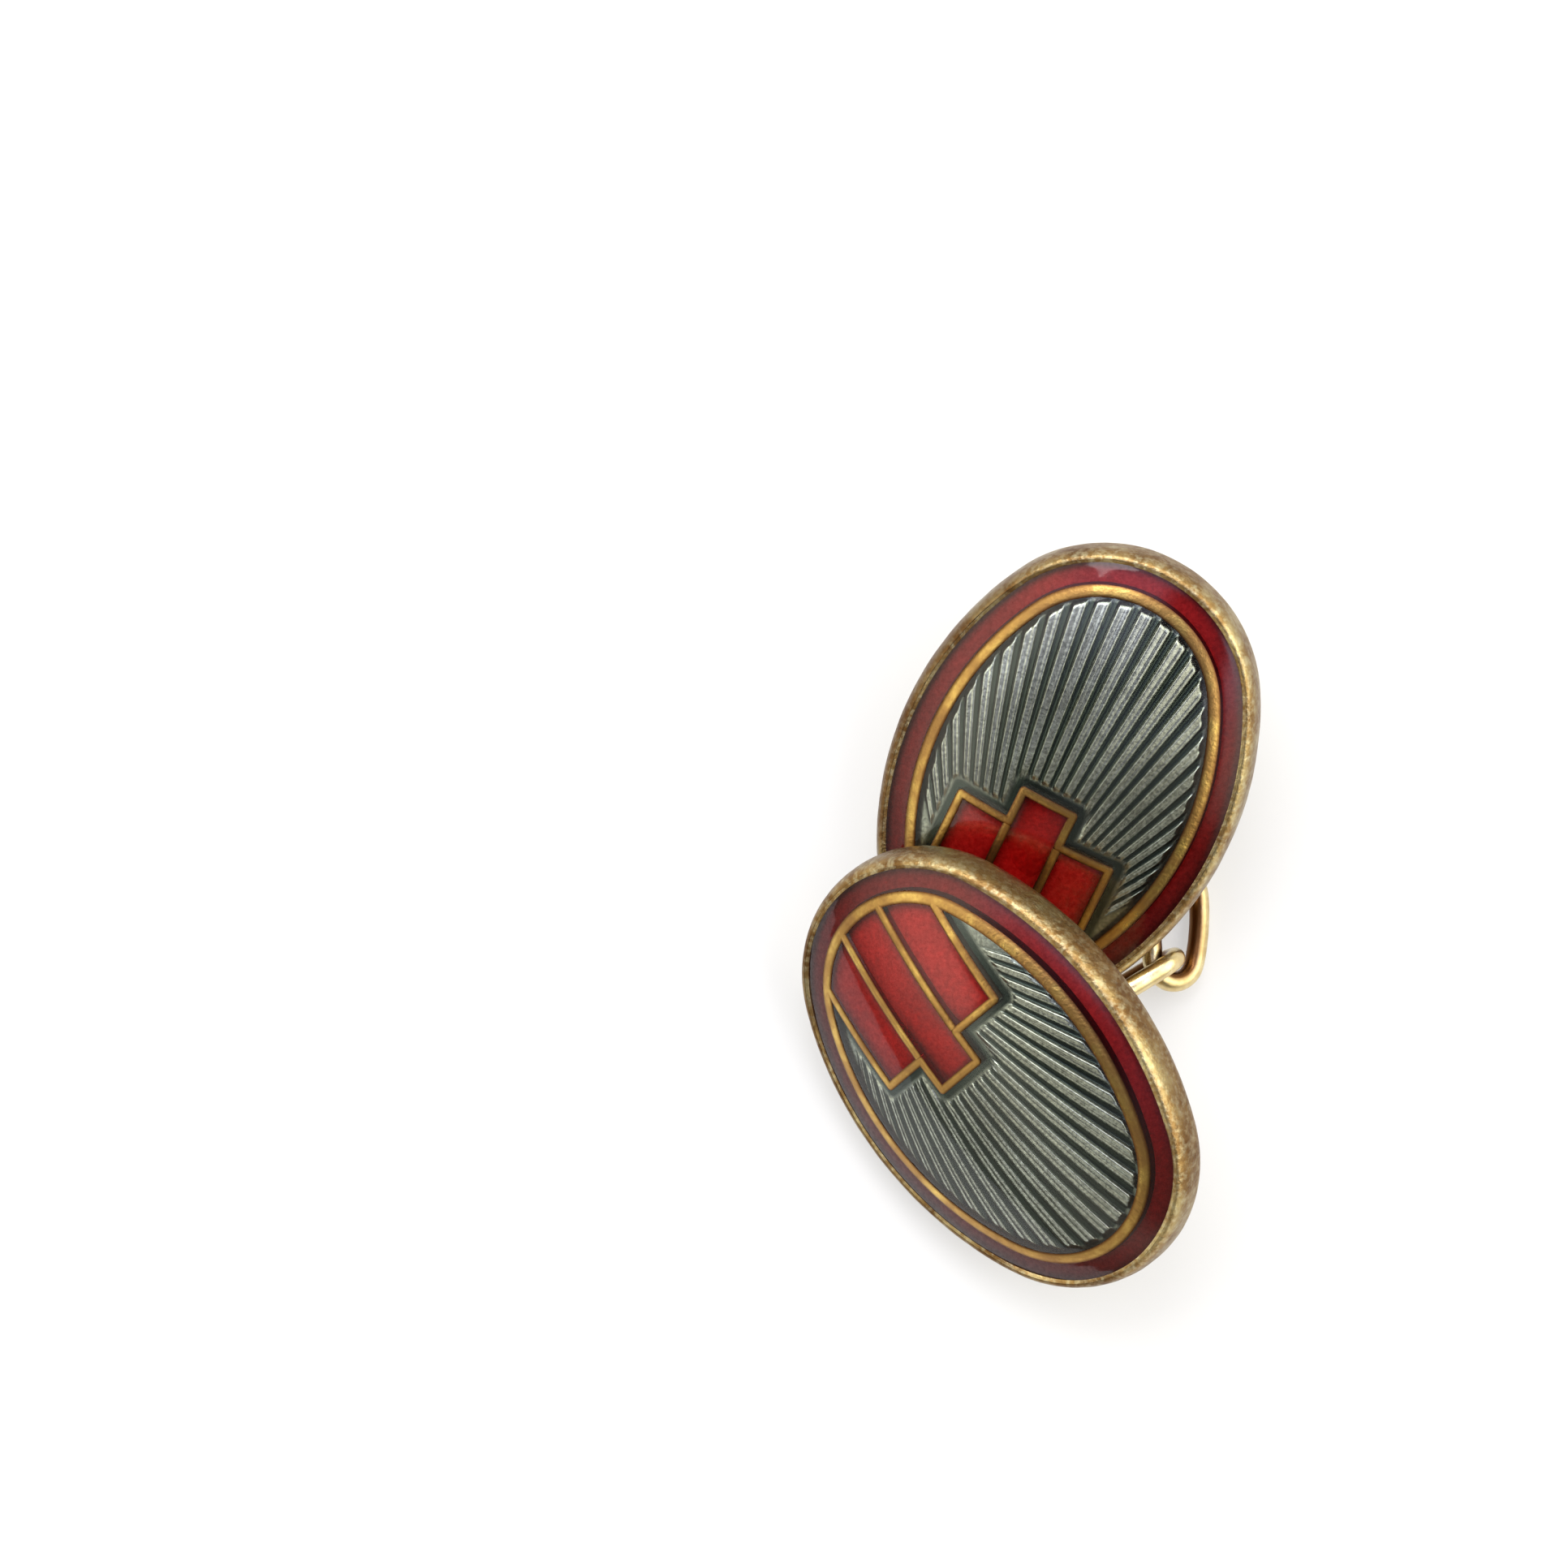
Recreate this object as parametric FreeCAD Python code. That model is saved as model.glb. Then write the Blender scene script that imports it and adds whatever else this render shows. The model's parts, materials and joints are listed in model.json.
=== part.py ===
import FreeCAD
import Part
import math
import os

# Chain-link cufflink: two domed oval heads with enamelled faces, joined by a chain of
# three wire links that hangs on a wire loop behind each head. It lies face up.
# Lengths are in millimetres and angles in degrees.
# In a head's own frame X runs across it, Y along it towards the bars, Z out of its face,
# and the origin is the middle of its back.
# In a link's own frame X runs along it and Z is square to its plane.

# Head outline, an oval of four arcs
head_length = 19.0
head_width = 13.6
end_radius = 5.9

# Cup: the rounded rim and the flat back
rim_height = 2.0
back_thickness = 0.8
cup_wall = 0.34
rim_front_round = 0.34
rim_back_round = 0.8

# Face plaque set in the cup
plaque_clearance = 0.02
edge_band = 0.15
border_width = 0.8
oval_line_width = 0.46
dome_rise = 1.6
enamel_depth = 0.45

# Three stepped bars
bar_width = 1.8
bar_wall = 0.34
middle_bar_foot = 0.82
side_bar_foot = 2.23

# Fan of ribs under the clear enamel
ray_origin = 8.9
ray_count = 37
ray_pitch = 3.0
rib_fill_share = 0.55
rib_cover = 0.22
oval_line_margin = 0.2
bar_margin = 0.36

# Wire loop on the back
loop_wire = 0.8
loop_opening_width = 2.4
loop_opening_height = 1.5
loop_bend_share = 0.94

# Chain links
link_wire = 0.82
link_bow = 0.09
end_link_length = 8.0
end_link_opening = 1.16
middle_link_length = 5.0
middle_link_opening = 1.26

# How the heads lie: turn about the vertical, nod along and lean across the oval
head_a_turn = 38.3
head_a_nod = -3.1
head_a_lean = -35.5
head_b_turn = 153.6
head_b_nod = -18.3
head_b_lean = 4.3

# How the links lie: heading about the vertical, climb along and roll about the link
link_a_heading = 31.0
link_a_climb = -7.2
link_a_roll = 96.0
link_middle_heading = 86.0
link_middle_climb = -3.4
link_middle_roll = 28.5
link_b_heading = 138.0
link_b_climb = 2.3
link_b_roll = 124.5

# Where wire hangs in wire: free play, swing out of the link's plane, and sideways shift
loop_play = 0.085
middle_link_play = 0.15
middle_link_swing = 17.0
middle_link_shift = -0.11
link_b_play = 0.2
link_b_swing = 42.4
link_b_shift = -0.07
head_b_hook_angle = 60.6

# Cutting solids run past the surface that they cut by this much
overrun = 0.5

X_AXIS = FreeCAD.Vector(1, 0, 0)
Y_AXIS = FreeCAD.Vector(0, 1, 0)
Z_AXIS = FreeCAD.Vector(0, 0, 1)
QUARTER_TURN = 90
SIDES = (-1, 1)

face_top = rim_height + dome_rise
border_inset = cup_wall + edge_band
oval_line_inset = border_inset + border_width
field_inset = oval_line_inset + oval_line_width
loop_depth = loop_opening_height + loop_wire / 2
loop_half_width = (loop_opening_width + loop_wire) / 2
loop_bend = loop_bend_share * min(loop_depth, loop_half_width)
end_link_reach = (end_link_length - link_wire) / 2
middle_link_reach = (middle_link_length - link_wire) / 2


def oval_arcs(half_length, half_width, tip_radius):
    """Four arcs of an oval, each as centre, start, middle and end in (along, across)."""
    tip = half_length - tip_radius
    side_radius = (half_width**2 + tip**2 - tip_radius**2) / (2 * (half_width - tip_radius))
    side = side_radius - half_width
    spread = tip_radius / (side_radius - tip_radius)
    along = tip * (1 + spread)
    across = side * spread
    return (
        ((0, -side), (-along, across), (0, half_width), (along, across)),
        ((tip, 0), (along, across), (half_length, 0), (along, -across)),
        ((0, side), (along, -across), (0, -half_width), (-along, -across)),
        ((-tip, 0), (-along, -across), (-half_length, 0), (-along, across)),
    )


def oval_prism(inset, bottom, top):
    """Upright solid with the head's outline, moved inwards by inset."""
    edges = []
    for _, *points in oval_arcs(head_length / 2 - inset, head_width / 2 - inset, end_radius - inset):
        arc = Part.Arc(*(FreeCAD.Vector(across, along, bottom) for along, across in points))
        edges.append(arc.toShape())
    return Part.Face(Part.Wire(edges)).extrude(FreeCAD.Vector(0, 0, top - bottom))


def oval_ring(outer_inset, inner_inset):
    """Upright wall between two insets of the head's outline, from the cup's floor up."""
    inner = oval_prism(inner_inset, back_thickness - overrun, face_top + overrun)
    return oval_prism(outer_inset, back_thickness, face_top).cut(inner)


def dome(drop):
    """Solid under the doubly curved face, lowered by drop."""
    side = head_width / 2 - border_inset
    end = head_length / 2 - border_inset
    across_radius = (side**2 + dome_rise**2) / (2 * dome_rise)
    along_radius = (end**2 + dome_rise**2) / (2 * dome_rise)
    half_width = head_width / 2
    edge_level = face_top - across_radius + math.sqrt(across_radius**2 - half_width**2)
    left_top = FreeCAD.Vector(-half_width, 0, edge_level)
    right_top = FreeCAD.Vector(half_width, 0, edge_level)
    left_foot = FreeCAD.Vector(-half_width, 0, 0)
    right_foot = FreeCAD.Vector(half_width, 0, 0)
    profile = Part.Wire(
        [
            Part.Arc(left_top, FreeCAD.Vector(0, 0, face_top), right_top).toShape(),
            Part.LineSegment(right_top, right_foot).toShape(),
            Part.LineSegment(right_foot, left_foot).toShape(),
            Part.LineSegment(left_foot, left_top).toShape(),
        ]
    )
    pivot = FreeCAD.Vector(0, 0, face_top - along_radius)
    half_sweep = math.degrees(math.asin(head_length / 2 / along_radius))
    section = Part.Face(profile).rotated(pivot, X_AXIS, -half_sweep)
    solid = section.revolve(pivot, X_AXIS, 2 * half_sweep)
    return solid.translated(FreeCAD.Vector(0, 0, -drop))


def make_cup():
    """Oval cup with a rounded rim, open at the front."""
    body = oval_prism(0, 0, rim_height)
    front = [edge for edge in body.Edges if edge.BoundBox.ZMin > back_thickness]
    body = body.makeFillet(rim_front_round, front)
    back = [edge for edge in body.Edges if edge.BoundBox.ZMax < back_thickness / 2]
    body = body.makeFillet(rim_back_round, back)
    return body.cut(oval_prism(cup_wall, back_thickness, rim_height + overrun))


def bar_box(column, foot, growth):
    """Upright box round one bar, grown sideways and at its foot."""
    half_width = bar_width / 2 + growth
    middle = column * (bar_width + bar_wall)
    corner = FreeCAD.Vector(middle - half_width, foot - growth, back_thickness)
    length = head_length / 2 - foot + growth
    return Part.makeBox(2 * half_width, length, face_top - back_thickness, corner)


def bar_boxes(growth):
    """Boxes round the left, middle and right bars."""
    feet = ((-1, side_bar_foot), (0, middle_bar_foot), (1, side_bar_foot))
    return [bar_box(column, foot, growth) for column, foot in feet]


def bars_block(growth):
    """The three bars' boxes joined into one stepped block."""
    left, middle, right = bar_boxes(growth)
    return middle.fuse([left, right])


def make_ribs():
    """Fan of low ribs that spread from a point near the bars' end of the oval."""
    field = oval_prism(field_inset + oval_line_margin, back_thickness, face_top)
    ground = field.cut(bars_block(bar_wall + bar_margin)).common(dome(rib_cover))
    source = FreeCAD.Vector(0, ray_origin, back_thickness)
    half_angle = ray_pitch * rib_fill_share / 2
    ribs = []
    for number in range(ray_count):
        angle = (number - (ray_count - 1) / 2) * ray_pitch
        points = [source]
        for side in SIDES:
            bearing = math.radians(angle + side * half_angle)
            ray = FreeCAD.Vector(math.sin(bearing), -math.cos(bearing), 0)
            points.append(source + ray * head_length)
        points.append(source)
        wedge = Part.Face(Part.makePolygon(points)).extrude(FreeCAD.Vector(0, 0, face_top))
        ribs.extend(wedge.common(ground).Solids)
    return ribs


def make_plaque():
    """Struck face plate: floor, edge band, oval line, bars' walls and ribs in one piece."""
    floor = oval_prism(cup_wall + plaque_clearance, back_thickness, face_top).common(dome(enamel_depth))
    band = oval_ring(cup_wall + plaque_clearance, border_inset)
    oval_line = oval_ring(oval_line_inset, field_inset)
    bar_walls = bars_block(bar_wall).common(oval_prism(oval_line_inset, back_thickness, face_top))
    for cell in bar_boxes(0):
        bar_walls = bar_walls.cut(cell)
    raised = [piece.common(dome(0)) for piece in (band, oval_line, bar_walls)]
    return floor.fuse(raised + make_ribs()).removeSplitter()


def make_enamels(plaque):
    """Enamel fillings of the face, flush with the dome, by name."""
    field = oval_prism(field_inset, back_thickness, face_top)
    left, middle, right = bar_boxes(0)
    cells = {
        "border_enamel": oval_ring(border_inset, oval_line_inset),
        "field_enamel": field.cut(bars_block(bar_wall)),
        "left_bar_enamel": left.common(field),
        "middle_bar_enamel": middle.common(field),
        "right_bar_enamel": right.common(field),
    }
    return {name: cell.common(dome(0)).cut(plaque) for name, cell in cells.items()}


def bent_rod(start, centre, axis, angle, diameter):
    """Round wire bent through an angle about an axis, from a start point."""
    tangent = axis.cross(start - centre)
    section = Part.Face(Part.Wire([Part.Circle(start, tangent, diameter / 2).toShape()]))
    return section.revolve(centre, axis, angle)


def loop_point(side, angle):
    """Point on the loop's centreline, at an angle round one bend from the crossbar."""
    turn = math.radians(angle)
    along = loop_half_width - loop_bend + loop_bend * math.sin(turn)
    depth = loop_depth - loop_bend + loop_bend * math.cos(turn)
    return FreeCAD.Vector(0, side * along, -depth)


def make_loop():
    """U of round wire standing on the back, with its crossbar along the head."""
    pieces = []
    for side in SIDES:
        crossbar_end = loop_point(side, 0)
        post_end = loop_point(side, QUARTER_TURN)
        centre = FreeCAD.Vector(0, crossbar_end.y, post_end.z)
        post = Part.makeCylinder(loop_wire / 2, -post_end.z, post_end, Z_AXIS)
        pieces.append(bent_rod(crossbar_end, centre, X_AXIS, side * QUARTER_TURN, loop_wire))
        pieces.append(post)
    start = loop_point(-1, 0)
    length = loop_point(1, 0).y - start.y
    crossbar = Part.makeCylinder(loop_wire / 2, length, start, Y_AXIS)
    return crossbar.fuse(pieces).removeSplitter()


def make_link(length, opening):
    """Closed oval link of round wire."""
    half_length = (length - link_wire) / 2
    half_width = (opening + link_wire) / 2
    bends = []
    for centre, start, _, end in oval_arcs(half_length, half_width, half_width - link_bow):
        centre, start, end = (FreeCAD.Vector(along, across, 0) for along, across in (centre, start, end))
        angle = math.degrees((start - centre).getAngle(end - centre))
        bends.append(bent_rod(start, centre, -Z_AXIS, angle, link_wire))
    return bends[0].fuse(bends[1:]).removeSplitter()


def turned(*turns):
    """Rotation made of turns about axes, the last one applied first."""
    rotation = FreeCAD.Rotation()
    for axis, angle in turns:
        rotation = rotation.multiply(FreeCAD.Rotation(axis, angle))
    return rotation


def head_rotation(turn, nod, lean):
    """How a head lies."""
    return turned((Z_AXIS, turn), (X_AXIS, nod), (Y_AXIS, lean))


def link_rotation(heading, climb, roll):
    """How a link lies."""
    return turned((Z_AXIS, heading), (Y_AXIS, -climb), (X_AXIS, roll))


def hung_link(anchor, rotation, reach, gap, swing, shift):
    """Placement of a link whose near bend passes round the wire at an anchor point."""
    angle = math.radians(swing)
    offset = FreeCAD.Vector(reach - gap * math.cos(angle), shift, -gap * math.sin(angle))
    return FreeCAD.Placement(anchor + rotation.multVec(offset), rotation)


def place_bodies():
    """Placement of each moving body, from head A along the chain to head B."""
    loop_gap = (loop_wire + link_wire) / 2 + loop_play
    head_a = FreeCAD.Placement(FreeCAD.Vector(), head_rotation(head_a_turn, head_a_nod, head_a_lean))
    hook_a = head_a.multVec(FreeCAD.Vector(0, 0, -loop_depth))
    rotation = link_rotation(link_a_heading, link_a_climb, link_a_roll)
    link_a = hung_link(hook_a, rotation, end_link_reach, loop_gap, 0, 0)
    anchor = link_a.multVec(FreeCAD.Vector(end_link_reach, 0, 0))
    rotation = link_rotation(link_middle_heading, link_middle_climb, link_middle_roll)
    gap = link_wire + middle_link_play
    link_middle = hung_link(
        anchor, rotation, middle_link_reach, gap, middle_link_swing, middle_link_shift
    )
    anchor = link_middle.multVec(FreeCAD.Vector(middle_link_reach, 0, 0))
    rotation = link_rotation(link_b_heading, link_b_climb, link_b_roll)
    gap = link_wire + link_b_play
    link_b = hung_link(anchor, rotation, end_link_reach, gap, link_b_swing, link_b_shift)
    hook_b = link_b.multVec(FreeCAD.Vector(end_link_reach - loop_gap, 0, 0))
    rotation = head_rotation(head_b_turn, head_b_nod, head_b_lean)
    head_b = FreeCAD.Placement(hook_b - rotation.multVec(loop_point(1, head_b_hook_angle)), rotation)
    return {
        "head_a": head_a,
        "link_a": link_a,
        "link_middle": link_middle,
        "link_b": link_b,
        "head_b": head_b,
    }


def make_nodes(places):
    """Every piece in its place, by name."""
    plaque = make_plaque()
    head = {"cup": make_cup(), "plaque": plaque, "loop": make_loop()}
    head.update(make_enamels(plaque))
    end_link = make_link(end_link_length, end_link_opening)
    middle_link = make_link(middle_link_length, middle_link_opening)
    nodes = {}
    for side in ("head_a", "head_b"):
        for name, shape in head.items():
            nodes[side + "_" + name] = placed(shape, places[side])
    nodes["link_a"] = placed(end_link, places["link_a"])
    nodes["link_middle"] = placed(middle_link, places["link_middle"])
    nodes["link_b"] = placed(end_link, places["link_b"])
    return nodes


def placed(shape, placement):
    """Copy of a shape, moved to a placement."""
    copy = shape.copy()
    copy.Placement = placement
    return copy


def resting_shift(nodes):
    """Move that sets the whole part on the ground, centred on the origin."""
    box = Part.makeCompound(list(nodes.values())).optimalBoundingBox(False, False)
    return FreeCAD.Vector(-box.Center.x, -box.Center.y, -box.ZMin)


body_places = place_bodies()
cufflink = make_nodes(body_places)
shift = resting_shift(cufflink)
os.makedirs("parts", exist_ok=True)
for node_name, node_shape in cufflink.items():
    node_shape.translate(shift)
    node_shape.exportStep("parts/" + node_name + ".step")
    print(node_name, len(node_shape.Solids), node_shape.isValid(), round(node_shape.Volume, 3))
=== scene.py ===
import json
import math

import bmesh
import bpy
from mathutils import Matrix, Vector, noise


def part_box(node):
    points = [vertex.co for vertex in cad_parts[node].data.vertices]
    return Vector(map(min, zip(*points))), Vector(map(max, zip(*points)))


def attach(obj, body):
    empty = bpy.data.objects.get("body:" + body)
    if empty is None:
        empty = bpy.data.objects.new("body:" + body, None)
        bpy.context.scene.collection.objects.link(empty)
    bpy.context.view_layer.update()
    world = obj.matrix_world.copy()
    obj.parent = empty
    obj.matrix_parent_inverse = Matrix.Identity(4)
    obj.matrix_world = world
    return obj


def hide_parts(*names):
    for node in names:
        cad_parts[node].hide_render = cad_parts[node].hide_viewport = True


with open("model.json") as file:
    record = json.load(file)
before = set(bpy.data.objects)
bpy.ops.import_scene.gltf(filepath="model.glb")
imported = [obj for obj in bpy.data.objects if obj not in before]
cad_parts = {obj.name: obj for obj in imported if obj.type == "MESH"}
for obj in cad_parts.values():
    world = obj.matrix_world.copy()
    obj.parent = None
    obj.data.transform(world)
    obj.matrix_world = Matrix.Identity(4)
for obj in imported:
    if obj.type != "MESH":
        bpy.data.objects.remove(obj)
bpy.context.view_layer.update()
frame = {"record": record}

# Sizes of a head and of the chain are in millimetres, in the piece's own frame.
# Everything in the scene itself is in metres.
MILLIMETRE = 0.001
MERGE_DISTANCE = 0.0001 * MILLIMETRE

# Head outline, an oval of four arcs
HEAD_LENGTH = 19.0
HEAD_WIDTH = 13.6
END_RADIUS = 5.9
OUTLINE_STEPS = 288

# Cup: worn by dents, which their offset draws inwards
RIM_HEIGHT = 2.0
CUP_WALL = 0.34
BACK_ROUND = 0.8
WIDEST_LEVEL = 1.15
CUP_FLOOR = 0.85
BACK_INSETS = (5.1, 4.2, 3.2, 2.2, 1.4, 1.0)
ROUND_STEPS = 12
DENT_DEPTH = 0.014
DENT_PITCH = 1.1
DENT_OFFSET = 0.9
FINE_DENT_SHARE = 0.5
FINE_DENT_RATIO = 2.7
# Tones of the back and of the low side, where patina and painted shade darken the cup
BACK_TONE = 0.7
SIDE_TONE = 0.3

# Painted shade on the rims: the side of each head that faces the light, as a direction on its face, the
# share of brown painted shade on the far side, and the cosines round the rim at which it starts and over
# which it grows
LIT_SIDES = {"head_a": (1.0, 0.0), "head_b": (-0.9, -0.44)}
SIDE_SHADE_SHARE = 0.9
SIDE_SHADE_START = 0.3
SIDE_SHADE_REACH = 0.8

# Face: profiles as share of the width and share of what stands proud
DOME_RISE = 1.6
BAND_INSET = 0.36
BORDER_INSET = 0.49
LINE_INSET = 1.29
FIELD_INSET = 1.75
ENAMEL_DEPTH = 0.45
SUNK = 0.06
TUCK = 0.04
LINE_PROUD = 0.016
MENISCUS = 0.012
MENISCUS_WIDTH = 0.25
# Width of the painted shade at an enamel's edges
EDGE_SHADE = 0.2
RIPPLE = 0.004
RIPPLE_RATE = 0.9
RIPPLE_LAYER = 3.1
BORDER_STEPS = 16
FIELD_STEPS = 4
BAR_COLUMNS = 28
BAR_ROWS = 60
BAND_PROFILE = ((0.0, -0.6), (0.3, 0.3), (0.6, 0.4), (0.85, 0.0), (1.0, -0.8))
LINE_PROFILE = ((0.0, -0.3), (0.05, 0.0), (0.16, 0.8), (0.5, 1.0), (0.84, 0.8), (0.95, 0.0), (1.0, -0.3))
WALL_PROFILE = ((-1.0, -0.3), (-0.9, 0.0), (-0.62, 0.8), (0.0, 1.0), (0.62, 0.8), (0.9, 0.0), (1.0, -0.3))
CORNER_SHARES = (0.0, 0.33, 0.67, 1.0)
CORNER_SPREAD = 0.12
CORNER_BEND = 0.5
BORDER_FLOOR_SHARES = (0.0, 0.25, 0.5, 0.75, 1.0)
FLOOR_INSETS = (FIELD_INSET, 2.4, 3.2, 4.0, 4.6, 5.0)

# Bars
BAR_WIDTH = 1.8
BAR_WALL = 0.34
MIDDLE_BAR_FOOT = 0.82
SIDE_BAR_FOOT = 2.23
WALL_STEP = BAR_WIDTH / 5
BISECTIONS = 40

# Rays: angles in degrees, and a rib's section as share of the pitch and share of the rise
RAY_ORIGIN = 8.9
RAY_PITCH = 3.0
RAY_SIDE_COUNT = 18
RAY_SAMPLES = 900
RAY_END_STEP = 0.09
RAY_END_STEPS = 9
RAY_MIDDLE_STEPS = 22
RIB_PROFILE = (
    (0.0, 0.0), (0.1, 0.04), (0.16, 0.42), (0.21, 0.6), (0.36, 0.72), (0.41, 0.65), (0.46, 0.79),
    (0.6, 0.92), (0.66, 1.0), (0.71, 0.97), (0.76, 0.7), (0.81, 0.2), (0.86, 0.0),
)
GROUND_DROP = 0.41
RIB_RISE = 0.115
RIB_FULL_REACH = 15.0
OVAL_MARGIN = 0.16
BAR_MARGIN = 0.32
RIB_END = 0.16
RIB_LAST_ANGLE = 38.5
RIB_FADE_ANGLE = 3.0
RIB_WANDER = 0.1
WANDER_APART = 3.7
WANDER_RATE = 0.5
# Tone of the flat margins, for their painted shade
FLAT_TONE = 0.45

# Back loop and chain
LOOP_WIRE = 0.8
LOOP_HALF_WIDTH = 1.6
LOOP_DEPTH = 1.9
LOOP_BEND = 1.5
POST_STEPS = 8
BEND_STEPS = 16
SOLDER_FOOT = 0.16
SOLDER_FALL = 9
LINK_WIRE = 0.82
LINK_BOW = 0.09
END_LINK_LENGTH = 8.0
END_LINK_OPENING = 1.16
MIDDLE_LINK_LENGTH = 5.0
MIDDLE_LINK_OPENING = 1.26
LINK_STEPS = 160
WIRE_SIDES = 32
WIRE_WEAR = 0.02
WEAR_RATE = 1.9
SEAM_PLACE = 0.04
SEAM_RISE = 0.012
SEAM_STEPS = 2.2

# How the bodies lie, in degrees: heads turn, nod and lean, links head, climb and roll
HEAD_LIES = {"head_a": (38.3, -3.1, -35.5), "head_b": (153.6, -18.3, 4.3)}
LINK_LIES = {
    "link_a": (31.0, -7.2, 96.0),
    "link_middle": (86.0, -3.4, 28.5),
    "link_b": (138.0, 2.3, 124.5),
}

# Where each body's wear starts in the noise
SEEDS = {"head_a": 1.3, "head_b": 7.9, "link_a": 2.1, "link_middle": 5.4, "link_b": 8.8}

# Edges sharper than this, in degrees, are not shaded smooth
SHARP_ANGLE = 40

# Photograph: its size in pixels, its scale, and where the middle of head A's back lies in it
PHOTO_PIXELS = 1932
PIXELS_PER_MILLIMETRE = 32.0
HEAD_A_PIXEL = (1249.0, 1303.1)
CAMERA_DISTANCE = 0.6
CAMERA_CLIP = CAMERA_DISTANCE / 60

# Sky: its level, its share of that at the horizon, and patches, each as direction, cosine where it
# starts, cosine where it is full, and amount. Shades multiply the level: high towards the foot of
# the picture, high on the left, low towards the foot, and overhead. Glows add to it: low on the
# left, low on the right, and below the floor.
SKY_LEVEL = 1.1
SKY_HORIZON = ((0, 0, 1), 0.0, 0.55, 1.0)
HORIZON_SHARE = 0.3
SKY_SHADES = (
    ((-0.12, -0.58, 0.8), 0.8, 0.93, 0.26),
    ((-0.5, -0.25, 0.83), 0.93, 0.985, 0.2),
    ((0.27, -0.85, 0.45), 0.93, 0.985, 0.1),
    ((0.16, -0.1, 0.98), 0.945, 0.985, 0.12),
)
SKY_GLOWS = (
    ((-0.87, 0.1, 0.48), 0.8, 0.95, 0.6),
    ((0.85, 0.1, 0.5), 0.6, 0.9, 1.5),
    ((0, 0, -1), 0.05, 0.5, 1.2),
)
SKY_OVERHEAD = ((0, 0, 1), 0.7, 0.97, 1.0)
LOW_SKY_COLOUR = (1.04, 1.0, 0.86)
HIGH_SKY_COLOUR = (0.96, 0.98, 1.28)

# Floor and lamp
FLOOR_HALF = 1.0
FLOOR_COLOUR = (0.92, 0.92, 0.92)
FLOOR_ROUGHNESS = 0.9
FLOOR_WHITE_SHARE = 0.5
LAMP_PLACE = (-0.15, 0.45, 0.6)
LAMP_TARGET = (0, 0, 0)
LAMP_SIZE = 0.5
LAMP_POWER = 3.0

# Materials. A noise is given as pitch in metres, detail and roughness, a bump as height in metres
# and strength, a ramp as places and colours, and a range as its two ends.
PATCH_RANGE = (0.3, 0.7)
RIM_PATCHES = (0.0022, 6, 0.68)
RIM_BROWNS = ((0.36, (0.19, 0.095, 0.03)), (0.5, (0.37, 0.235, 0.09)), (0.64, (0.60, 0.48, 0.23)))
RIM_RUBBING = (0.00026, 5, 0.6)
RIM_SPOTS = ((0.46, (0, 0, 0)), (0.74, (0.62, 0.62, 0.62)))
RUBBED_GILT = (0.84, 0.78, 0.50)
# Dark brown of patina and painted shade on the cup, low on its side and away from its lit side, and its
# greatest share
PATINA_AND_SHADE = (0.10, 0.045, 0.016)
PATINA_AND_SHADE_SHARE = 0.75
RIM_ROUGHNESS = (0.48, 0.28)
RIM_PITS = (0.00022, 4, 0.6)
RIM_BUMP = (0.00006, 0.8)
LINE_PATCHES = (0.0016, 6, 0.65)
LINE_GILTS = ((0.3, (0.31, 0.165, 0.058)), (0.5, (0.45, 0.26, 0.078)), (0.7, (0.76, 0.53, 0.15)))
# Painted shade at the edges of the lines and walls, and the tones over which it fades
LINE_EDGE_SHADE = (0.12, 0.05, 0.02)
LINE_EDGE_SHADE_RANGE = (0.05, 0.55)
LINE_ROUGHNESS = (0.4, 0.24)
LINE_PITS = (0.00018, 3, 0.6)
LINE_BUMP = (0.00003, 0.6)
GROUND_GRAIN = (0.00013, 4, 0.7)
GROUND_PATCHES = (0.003, 4, 0.55)
GROUND_TONES = ((0.3, (0.83, 0.82, 0.73)), (0.7, (0.96, 0.98, 0.92)))
GROUND_SPECKLE = ((0.36, (0.5, 0.5, 0.5)), (0.62, (1.0, 1.0, 1.0)))
# Painted shade in the grooves and margins of the fan, and the tones over which it fades
GROOVE_SHADE = (0.066, 0.084, 0.076)
GROOVE_SHADE_RANGE = (0.1, 0.64)
GROUND_ROUGHNESS = (0.17, 0.29)
GROUND_BUMP = (0.000006, 0.7)
CELL_GRAIN = (0.0002, 4, 0.7)
CELL_TONES = ((0.35, (0.55, 0.45, 0.36)), (0.65, (0.8, 0.7, 0.6)))
CELL_ROUGHNESS = 0.6
CELL_BUMP = (0.00003, 0.6)
WIRE_PATCHES = (0.0012, 5, 0.6)
WIRE_GOLDS = ((0.3, (0.52, 0.36, 0.15)), (0.5, (0.76, 0.61, 0.32)), (0.68, (0.88, 0.77, 0.48)))
# Painted brown shade on the wire's inner side, and the tones over which it fades
WIRE_INNER_SHADE = (0.17, 0.075, 0.026)
WIRE_INNER_SHADE_RANGE = (0.3, 0.55)
WIRE_ROUGHNESS = (0.38, 0.22)
WIRE_PITS = (0.00025, 3, 0.55)
WIRE_BUMP = (0.00003, 0.4)

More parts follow.
